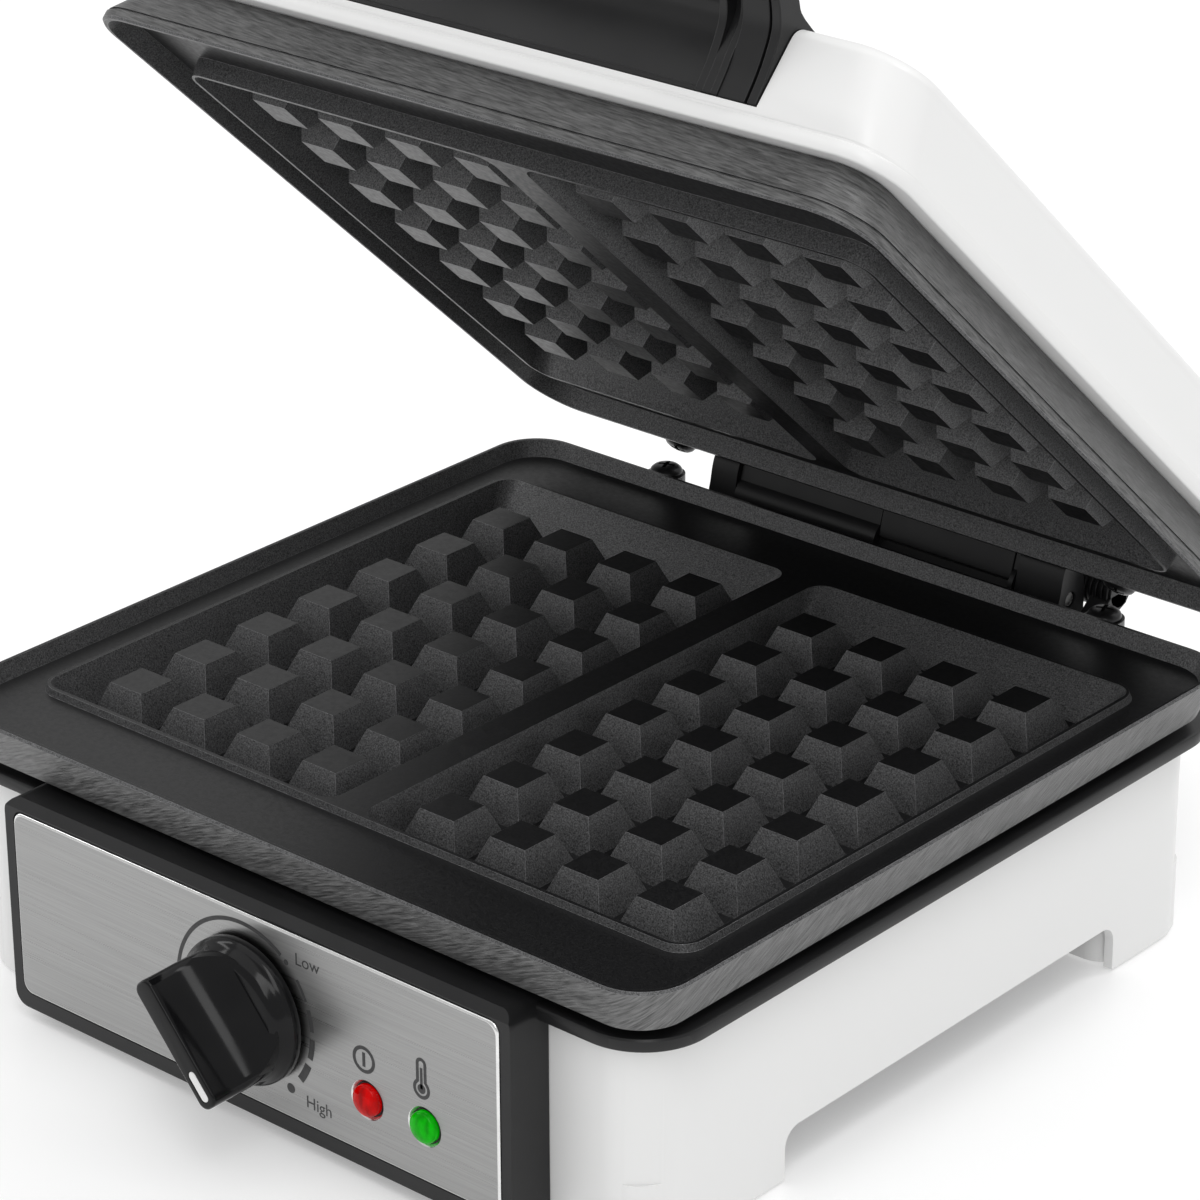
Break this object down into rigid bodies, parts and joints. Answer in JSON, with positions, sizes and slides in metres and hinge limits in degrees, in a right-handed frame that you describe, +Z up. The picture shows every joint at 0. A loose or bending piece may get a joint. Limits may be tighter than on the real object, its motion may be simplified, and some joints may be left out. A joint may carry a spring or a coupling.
{
  "type": "waffle maker",
  "caption": "Waffle maker with two cast grid plates, a hinged lid with a bail handle, a white shell and a front control panel with a dial and lamps.",
  "frame": {"origin": "middle of the footprint, on the surface the feet stand on", "axes": "+X to the appliance's right seen from the front, +Y to the back where the hinge is, +Z up"},
  "size_m": [0.24, 0.2929, 0.3043],
  "materials": {
    "white_plastic": "smooth satin gloss white",
    "black_plastic": "satin black, fine grain",
    "gloss_black_plastic": "polished black",
    "coated_aluminium": "dark grey non-stick coating over cast metal",
    "brushed_steel": "horizontal brushed grain",
    "steel": "bright plated steel",
    "sheet_metal": "plain pressed sheet",
    "rubber": "matt black",
    "red_lens_plastic": "translucent red",
    "green_lens_plastic": "translucent green",
    "ceramic": "off-white insulating material"
  },
  "bodies": {
    "base": {"base_shell": "white_plastic", "base_frame": "black_plastic", "bottom_cover": "black_plastic", "control_fascia": "brushed_steel", "lower_plate": "coated_aluminium", "lower_heater": "steel", "lower_reflector": "sheet_metal", "thermostat": "steel", "red_lens": "red_lens_plastic", "green_lens": "green_lens_plastic", "red_lamp_holder": "ceramic", "green_lamp_holder": "ceramic", "terminal_block": "ceramic", "thermal_fuse": "steel", "cord_grommet": "rubber", "lead_guard": "black_plastic", "foot_pad_front_left": "rubber", "foot_pad_front_right": "rubber", "foot_pad_rear_left": "rubber", "foot_pad_rear_right": "rubber", "cover_screw_front_left": "steel", "cover_screw_front_right": "steel", "cover_screw_rear_left": "steel", "cover_screw_rear_right": "steel", "lower_plate_screw_left": "steel", "lower_plate_screw_right": "steel", "hinge_pin_left": "steel", "hinge_pin_right": "steel"},
    "dial": {"knob": "gloss_black_plastic", "knob_pointer": "white_plastic", "thermostat_shaft": "steel"},
    "lid": {"lid_shell": "white_plastic", "lid_liner": "black_plastic", "upper_plate": "coated_aluminium", "upper_heater": "steel", "upper_reflector": "sheet_metal", "handle_panel": "black_plastic", "lid_handle": "black_plastic", "lid_hinge": "black_plastic", "hinge_cover": "black_plastic", "upper_plate_screw_left": "steel", "upper_plate_screw_right": "steel", "handle_screw_left": "steel", "handle_screw_right": "steel"}
  },
  "joints": [
    {"name": "lid_hinge_turn", "type": "hinge", "parent": "base", "child": "lid", "pos_m": [0, 0.1256, 0.0716], "axis": [-1, 0, 0], "range_deg": [-42.5, 57.5]},
    {"name": "thermostat_turn", "type": "hinge", "parent": "base", "child": "dial", "pos_m": [0, -0.1219, 0.0337], "axis": [0, -1, 0], "range_deg": [0, 96]}
  ]
}
